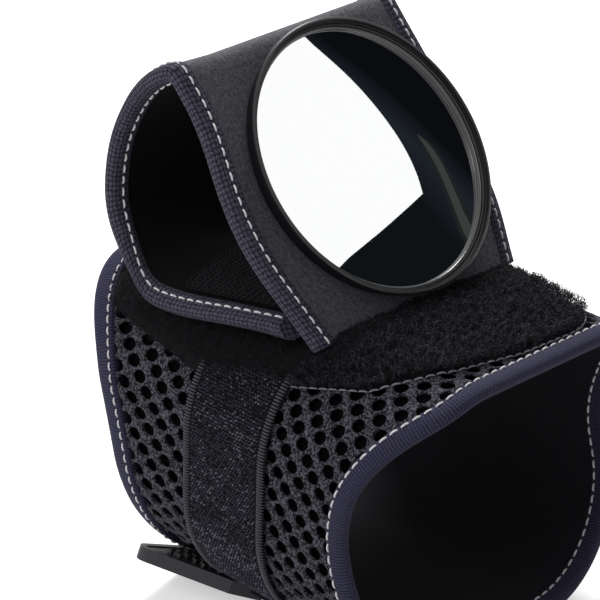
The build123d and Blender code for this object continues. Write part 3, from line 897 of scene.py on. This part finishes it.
rng = np.random.default_rng(31)
loop_columns = np.arange(tape_low[0] + 2.3, tape_high[0] - 2, 0.66)
loop_x, loop_s = np.meshgrid(loop_columns, np.arange(tape_runs[0] + 1, tape_runs[-1], 0.58))
loop_lean = rng.normal(0, 0.1, loop_x.shape) + 0.55 * (-1) ** (1 + np.arange(len(loop_columns)))
loop_x = loop_x + 0.33 * (np.arange(len(loop_x)) % 2)[:, None] + rng.normal(0, 0.04, loop_x.shape)
loop_s = loop_s + rng.normal(0, 0.05, loop_s.shape)
worn = noise_on(loop_x, loop_s, 3.5)
kind = rng.random(loop_x.shape) + worn * 0.35 + 0.14 * np.cos((loop_s - tape_runs[0]) * 2 * pi / 12)
for name, chosen, material in (
    ("closure_tape_bright_loops", kind > 0.84, LOOP_YARN),
    ("closure_tape_dim_loops", (kind > 0.15) & (kind <= 0.84), DIM_YARN),
):
    places, normals = wrist(loop_s[chosen], loop_x[chosen], TAPE_LIFT)
    lean = loop_lean[chosen][:, None]
    along = unit(np.array((1, 0, 0)) + lean * np.cross(normals, (1, 0, 0)))
    lengths, widths = (rng.uniform(*span, lean.shape) for span in ((0.11, 0.15), (0.3, 0.4)))
    sizes = np.concatenate([lengths, widths, np.full(lean.shape, 0.42)], 1)
    ride(scatter(name, STITCH, places, along, normals, sizes, material), "loop_tape")

STRAP_STEP, STRAP_TOP, STRAP_LIFT = 0.5, 7.9, 2.4
under_near = np.arange(tape_end, under_middle, STRAP_STEP)
under_far = np.arange(-under_middle, -shoulder_end - STRAP_TOP, STRAP_STEP)
strap_runs = np.concatenate([under_near, under_far])
strap_x = np.linspace(strap_low[0], strap_high[0], 30)
outer, inner = (wrist(strap_runs[:, None], strap_x, lift)[0] for lift in (STRAP_LIFT, 0.5))
strap_points = np.concatenate([outer, inner[:, ::-1]], 1)
strap = surface("closure_strap_webbing", strap_points, STRAP, loop_cols=True, caps=(0, -1))
ride(strap, "strap_webbing", "closure_strap")
BOX_INSET, BOX_LENGTH = 2.5, 18
first, last = strap_runs[-1] - BOX_INSET, strap_runs[-1] - BOX_INSET - BOX_LENGTH
low, high = strap_low[0] + BOX_INSET, strap_high[0] - BOX_INSET
sewn_box = np.array([(first, low), (first, high), (last, high), (last, low)])
box_path = at(sewn_box, np.arange(0, 4, 0.025), loop=True)
box_places, box_normals = wrist(box_path[:, 0], box_path[:, 1], STRAP_LIFT + 0.05)
box_stitches = stitches("strap_box_stitches", box_places, box_normals, GREY_THREAD, loop=True)
ride(box_stitches, "strap_webbing")


# ==== Folded flap ====
def arc(centre, radius, start, end, step=0.5):
    """Points of an arc in the XZ plane, by angles in degrees."""
    count = max(2, int(abs(radians(end - start)) * radius / step))
    turns = np.radians(np.linspace(start, end, count))
    return centre + radius * np.stack([np.cos(turns), np.sin(turns)], 1)


def straight(start, end, step=0.5):
    """Points of a straight run in the XZ plane."""
    return np.linspace(start, end, max(2, int(hypot(*np.subtract(end, start)) / step)))


base_line = base_low[2]
CREST_RUN, HEEL_RADIUS, BASE_TUCK = 52.1, 13.3, 5.2
crest = flap_root + leaf_up * CREST_RUN
back_face = box("back_leaf_felt")[0][0]
heel_centre = np.array((back_face + HEEL_RADIUS, base_line + HEEL_RADIUS))
reach_x, reach_z = crest[0] - back_face, crest[1] - heel_centre[1]
back_radius = (reach_x**2 + reach_z**2) / (2 * reach_x)
back_centre = np.array((back_face + back_radius, heel_centre[1]))
crest_angle = np.degrees(np.arctan2(*(crest - back_centre)[::-1]))
corner_path = np.concatenate(
    [
        straight(flap_root, crest),
        arc(back_centre, back_radius, crest_angle, 180)[1:],
        arc(heel_centre, HEEL_RADIUS, 180, 270)[1:],
        straight((heel_centre[0], base_line), (base_high[0] + BASE_TUCK, base_line))[1:],
    ]
)
PROFILE_STEP, FOLD_SOFTNESS = 0.6, 1.6
corner_runs = run_along(corner_path)
profile_runs = np.arange(0, corner_runs[-1], PROFILE_STEP)
sharp_profile = [np.interp(profile_runs, corner_runs, values) for values in corner_path.T]
profile = np.stack([soften(values, FOLD_SOFTNESS, PROFILE_STEP) for values in sharp_profile], 1)
profile_tangents = unit(np.gradient(profile, axis=0))
profile_normals = np.stack([profile_tangents[:, 1], -profile_tangents[:, 0]], 1)
to_end = profile_runs[-1] - profile_runs
near_heel = np.clip((heel_centre[1] - profile[:, 1]) / HEEL_RADIUS, 0, 1)
END_EASE, EASE_LENGTH = 0.3, 30
droop_share = np.where(profile_runs > CREST_RUN, near_heel**5, 0)
droop_share = (droop_share * (1 - END_EASE * smoothstep(1 - to_end / EASE_LENGTH)))[:, None]
edge_places = {
    side: side * soften(np.interp(profile_runs, *table), EDGE_SOFTNESS, PROFILE_STEP)
    for side, table in ((NEAR, NEAR_WIDTHS), (FAR, FAR_WIDTHS))
}
# The base leaf's end is cut on a slant, to lie against the mirror leaf, and only its near
# corner reaches the whole tuck.
TUCK_LENGTH, SLANT_LENGTH = 14, 5
end_share = smoothstep(1 - to_end / TUCK_LENGTH)[:, None]
end_slant = (smoothstep(1 - to_end / SLANT_LENGTH) / np.tan(radians(FLAP_ANGLE)))[:, None]
# The crest runs out a little further the nearer it is to the far edge.
CREST_SKEW, CREST_LEVEL_WIDTH, SKEW_START, SKEW_FADE = 0.06, 19, 18, 32
crest_rise = smoothstep((profile_runs - SKEW_START) / (CREST_RUN - SKEW_START))
crest_share = (crest_rise * (1 - smoothstep((profile_runs - CREST_RUN) / SKEW_FADE)))[:, None]
# The strip's near lower corner hangs a little over the band's shoulder.
CORNER_HANG, CORNER_LENGTH = 1.4, 12
corner_share = (1 - smoothstep(profile_runs / CORNER_LENGTH))[:, None]
droop_radius = TOP_RADIUS + (PAD_TOP - BAND_TOP) + DROOP_LIFT


def flap(v, depth=0):
    """Points and outward normals of the strip at widths v from its middle, near side minus."""
    side, wide, share = np.sign(v), np.abs(v), droop_share
    past = np.clip(wide - top_end, 0, None)
    turn = past / droop_radius * share
    divisor = np.maximum(share, 1e-6)
    shifted = np.where(past > 0, top_end + droop_radius * np.sin(turn) / divisor, wide)
    y = side * (wide * (1 - share) + shifted * share)
    drop = droop_radius * (1 - np.cos(turn)) / divisor
    sag = (base_line - PAD_TOP - DROOP_LIFT) * smoothstep(past / 6)
    slope = profile_normals[:, 1:]
    flat_x = np.broadcast_to(profile_normals[:, :1], v.shape)
    normal = unit(np.stack([flat_x, slope * np.sin(turn) * side, slope * np.cos(turn)], -1))
    reach = CREST_SKEW * np.clip(v + CREST_LEVEL_WIDTH, 0, None) * crest_share
    reach = reach - CORNER_HANG * smoothstep((-v - 17) / 9) * corner_share
    x = profile[:, :1] + leaf_up[0] * reach + end_slant * (FLAP_THICKNESS - depth)
    x = x - BASE_TUCK * smoothstep((v + 25) / 12) * end_share
    z = profile[:, 1:] - (drop + sag) * share + leaf_up[1] * reach
    return np.stack([x, y, z], -1) - normal * depth, normal


# Each zone covers one fold; the first two end half a leaf past theirs.
HALF_LEAF = 26
mid_mirror = int(HALF_LEAF / PROFILE_STEP)
heel_start = int(np.argmin(np.abs(profile_runs - (CREST_RUN + HALF_LEAF))))
ZONES = (
    ("mirror", 0, mid_mirror, "band", "mirror_leaf", (22, 0, 60.6), (17.5, 0, 66)),
    ("back", mid_mirror, heel_start, "mirror_leaf", "back_leaf", (-7, 0, 98), (-19.5, 0, 98)),
    ("base", heel_start, len(profile) - 1, "back_leaf", "base_leaf", (-28, 0, 76), (-22, 0, 63)),
)


def bend(piece, zone, slot, *nodes):
    """Bakes a flap piece's placement into its mesh and hides the nodes it replaces; zone and slot
    are not used.
    """
    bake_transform(piece)
    if nodes:
        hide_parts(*nodes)


FLAP_BINDING_PROFILE = (
    (3.6, -0.05), (3.4, -0.3), (2.6, -0.38), (1.6, -0.36), (0.8, -0.2), (0.2, 0.25), (0, 1.15),
    (0.2, 2.05), (0.8, 2.55), (1.6, 2.75), (2.6, 2.9), (3.4, 2.85), (3.6, 2.6),
)
FACE_INSET, STRIP_COLUMNS = 2.6, 61


def across_strip(inset):
    """Widths across the strip, from the near to the far edge, pulled in by an inset."""
    near, far = edge_places[NEAR] + inset, edge_places[FAR] - inset
    return np.linspace(near, far, STRIP_COLUMNS, axis=-1)


def flap_sheet(name, zone, depth, material, slot, replaced):
    """One face of the strip between its bindings, over one zone."""
    _, first, last = zone[:3]
    rows = slice(first, last + 1)
    widths = across_strip(FACE_INSET)
    points, facing = (grid[rows] for grid in flap(widths, depth))
    if depth:
        points, facing = points[:, ::-1], -facing[:, ::-1]
    piece = surface(name, points, material, start=first * PROFILE_STEP, normals=facing)
    bend(piece, zone, slot, replaced)


def flap_edge(zone, side, label):
    """Binding and two rows of stitches along one edge of one zone."""
    leaf, first, last = zone[:3]
    rows = slice(first, last + 1)
    edge = edge_places[side][:, None]
    grid = np.stack([flap(edge - side * a, depth)[0][:, 0] for a, depth in FLAP_BINDING_PROFILE], 1)
    if side == FAR:
        grid = grid[:, ::-1]
    caps = [cap for cap, closed in ((0, first == 0), (-1, last == len(profile) - 1)) if closed]
    facing = None if caps else grid_normals(grid, loop_cols=True)[rows]
    tape = surface(
        f"{leaf}_{label}_edge_tape", grid[rows], BINDING, loop_cols=True, caps=caps,
        start=first * PROFILE_STEP, normals=facing,
    )
    bend(tape, zone, "edge_binding", f"{leaf}_leaf_{label}_binding")
    for face, depth, outward in (("outer", -0.38, 1), ("inner", 2.88, -1)):
        row, normals = (line[rows, 0] for line in flap(edge - side * STITCH_INSET, depth))
        thread = stitches(f"{leaf}_{label}_{face}_stitches", row, normals * outward)
        bend(thread, zone, "edge_binding")


for zone in ZONES:
    leaf = zone[0]
    felt, lining = f"{leaf}_leaf_felt", f"{leaf}_leaf_lining"
    flap_sheet(f"{leaf}_felt_face", zone, 0, FELT, "charcoal_felt", felt)
    flap_sheet(f"{leaf}_lining_face", zone, FLAP_THICKNESS, LINING, "flap_lining", lining)
    flap_edge(zone, NEAR, "near")
    flap_edge(zone, FAR, "far")

# ---- ribbed tape on the base leaf
RIBBED_START, RIBBED_INSET, RIBBED_WIDTH = 4.5, 4, 49
on_base = (profile_runs > CREST_RUN) & (profile[:, 1] < heel_centre[1])
ribbed_rows = on_base & within(profile[:, 0], ribbed_low[0] + RIBBED_START, ribbed_high[0] + 2)
ribbed_grid = flap(across_strip(RIBBED_INSET), FLAP_THICKNESS + 0.6)
ribbed_points, ribbed_normals = (grid[ribbed_rows] for grid in ribbed_grid)
ribbed = surface("ribbed_tape_face", ribbed_points, RIBBED)
ride(ribbed, "ribbed_tape", "base_leaf_ribbed_tape", body="base_leaf")
rng = np.random.default_rng(77)
standing, rising = (grid[::2, 1:-1].reshape(-1, 3) for grid in (ribbed_points, -ribbed_normals))
standing = standing + rng.normal(0, 0.05, standing.shape)
facing = unit(np.array((1, 0.25, 0)) + rng.normal(0, 0.12, standing.shape))
facing = unit(facing - rising * np.sum(facing * rising, 1, keepdims=True))
sizes = rng.uniform(0.5, 0.85, (len(standing), 1))
name = "ribbed_tape_standing_loops"
loops = scatter(name, curl_b, standing, facing, rising, sizes, STANDING_YARN)
ride(loops, "ribbed_tape", body="base_leaf")

# ==== CAD pieces that stay ====
for node, material in (
    ("mirror_housing", BEZEL),
    ("mirror_retaining_ring", RING),
    ("mirror_glass", MIRROR),
    ("mirror_foam_pad", FOAM),
    ("mirror_leaf_board", BOARD),
    ("base_leaf_hook_tape", HOOKS),
    ("hook_tab", TAB),
    ("tab_hooks", HOOKS),
):
    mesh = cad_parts[node].data
    mesh.materials.clear()
    mesh.materials.append(material)

for leftover in (STITCH, curl_a, curl_b):
    bpy.data.objects.remove(leftover)


# ==== Studio ====
SKY_LEVEL, FLOOR_GLOW, FLOOR_REACH = 0.25, 0.45, 3


def looked_at(tree, *kinds):
    """1 for a camera ray and for rays of the named kinds, else 0."""
    path = tree.nodes.new("ShaderNodeLightPath").outputs
    seen = path["Is Camera Ray"]
    for kind in kinds:
        seen = maths(tree, "MAXIMUM", seen, path[f"Is {kind} Ray"])
    return seen


def world_light():
    """White to the camera and in reflections, plain soft light on everything else."""
    world = bpy.context.scene.world = bpy.data.worlds.new("Studio")
    world.use_nodes = True
    tree = world.node_tree
    background = tree.nodes["Background"].inputs
    background["Color"].default_value = (1, 1, 1, 1)
    seen = looked_at(tree, "Glossy", "Transmission")
    strength = maths(tree, "MULTIPLY_ADD", seen, 1 - SKY_LEVEL, SKY_LEVEL)
    tree.links.new(strength, background["Strength"])


def floor():
    """A pale floor that reads white and keeps the shadow."""
    material = plain_material("Pale floor", (800, 800, 800), 0.9, EMISSION_COLOR=(1, 1, 1, 1))
    tree = material.node_tree
    glow = maths(tree, "MULTIPLY", looked_at(tree, "Glossy"), FLOOR_GLOW)
    tree.links.new(glow, tree.nodes["Principled BSDF"].inputs["Emission Strength"])
    corners = np.array([(-1, -1, 0), (1, -1, 0), (1, 1, 0), (-1, 1, 0)]) * FLOOR_REACH
    mesh_object("Floor", corners, [(0, 1, 2, 3)], material)


def soft_lamp(name, place, size, power):
    """An area lamp in metres, aimed at the middle of the view."""
    data = bpy.data.lights.new(name, "AREA")
    data.energy, data.size = power, size
    lamp = add_object(name, data)
    lamp.location = place
    lamp.rotation_euler = (LOOK_AT - Vector(place)).to_track_quat("-Z", "Y").to_euler()


world_light()
floor()
LOOK_AT = Vector((7.5, -15.5, 60)) * MM
soft_lamp("Key", (-0.42, 0.4, 0.68), 0.3, 6.6)
soft_lamp("Fill", (-0.15, -0.62, 0.5), 0.6, 2.5)

# A glowing card that only reflections see paints a dark room corner into the mirror's reflection;
# it is given in centimetres across and up from its middle.
CARD_MIDDLE = Vector((283.8, 377.1, 374.4)) * MM
CARD_ACROSS = Vector((-0.8088, 0.5881, 0))
CARD_UP = Vector((-0.3112, -0.4279, 0.8486))
CARD_RAMP_CM = 20
CORNER_SWEEP = (
    (1.2, -6.9), (2.6, -5.4), (4.3, -2.5), (5.7, 1.7), (6.7, 6.2), (7.3, 11.4), (7.6, 16), (8, 20),
)
STREAK_LINE = (
    (6.9, -3.6, 0.05), (6.75, -5, 0.4), (6.36, -6.5, 0.55), (5.4, -8.5, 0.65),
    (4.26, -10.5, 0.7), (2.86, -12.9, 0.75), (1.56, -15.1, 0.8),
)


def rounded_off(points, rounds=3):
    """Cuts the corners of an open run of points again and again; its two ends stay."""
    for _ in range(rounds):
        starts, steps = np.array(points[:-1]), np.diff(points, axis=0)
        inner = np.stack([starts + steps / 4, starts + steps * 3 / 4], 1)
        points = [points[0], *inner.reshape(-1, len(points[0]))[1:-1], points[-1]]
    return points


def reflection_card(name, outline, forward, *tones):
    """A flat glowing shape that shows in mirrors and gloss and nowhere else: a painted reflection.

    Its tones are (centimetres across, colour).
    """
    made = bpy.data.materials.new(name)
    made.use_nodes = True
    tree = made.node_tree
    run = vector_maths(tree, "DOT_PRODUCT", coordinates(tree, "Object"), CARD_ACROSS)["Value"]
    run = maths(tree, "SUBTRACT", run, CARD_MIDDLE.dot(CARD_ACROSS))
    stops = [(across / CARD_RAMP_CM, colour) for across, colour in tones]
    colour = ramp(tree, maths(tree, "MULTIPLY", run, 100 / CARD_RAMP_CM), *stops)
    glow = add_node(tree, "ShaderNodeEmission", colour)
    tree.links.new(glow.outputs[0], tree.nodes["Material Output"].inputs["Surface"])
    middle = CARD_MIDDLE + CARD_ACROSS.cross(CARD_UP) * forward
    vertices = [middle + (CARD_ACROSS * u + CARD_UP * w) * 10 * MM for u, w in outline]
    card = mesh_object(name, vertices, [tuple(range(len(vertices)))], made)
    card.visible_camera = card.visible_diffuse = False
    card.visible_shadow = card.visible_transmission = False


# Tones of the painted reflection.
DUSK, DIM, NIGHT = (13, 16.5, 22.5), (5, 6.2, 7.5), (3.2, 3.8, 5)
MIST, HAZE = (42, 46, 42), (14, 16.5, 16.5)
corner = [(-24, -0.5), (-15.3, -2.5), (-7.3, -4.7), *rounded_off(CORNER_SWEEP)]
corner += [(26, 20), (26, -24), (-24, -24)]
reflection_card("Dark corner", corner, 0, (0, DIM), (5.5, DUSK), (9, NIGHT))
# Two glowing strips paint a grey streak into the mirror's reflection.
streak_line = rounded_off(STREAK_LINE, 2)
for name, spread, forward, tone in (
    ("Streak glow", 1.9, -0.003, HAZE),
    ("Grey streak", 1, -0.006, MIST),
):
    streak = [(u + wide * spread, w) for u, w, wide in streak_line]
    streak += [(u - wide * spread, w) for u, w, wide in reversed(streak_line)]
    reflection_card(name, streak, forward, (0, tone), (CARD_RAMP_CM, tone))

AZIMUTH, ELEVATION, ROLL = radians(44.5), radians(24.6), radians(-1.6)
CAMERA_DISTANCE = 378.9 * MM
camera_data = bpy.data.cameras.new("Camera")
camera_data.lens = 132
camera = add_object("Camera", camera_data)
turn = Matrix.Rotation(AZIMUTH, 4, "Z") @ Matrix.Rotation(pi / 2 - ELEVATION, 4, "X")
turn = turn @ Matrix.Rotation(-ROLL, 4, "Z")
back_off = Matrix.Translation((0, 0, CAMERA_DISTANCE))
camera.matrix_world = Matrix.Translation(LOOK_AT) @ turn @ back_off
bpy.context.scene.camera = camera
bpy.context.scene.view_settings.view_transform = "Standard"
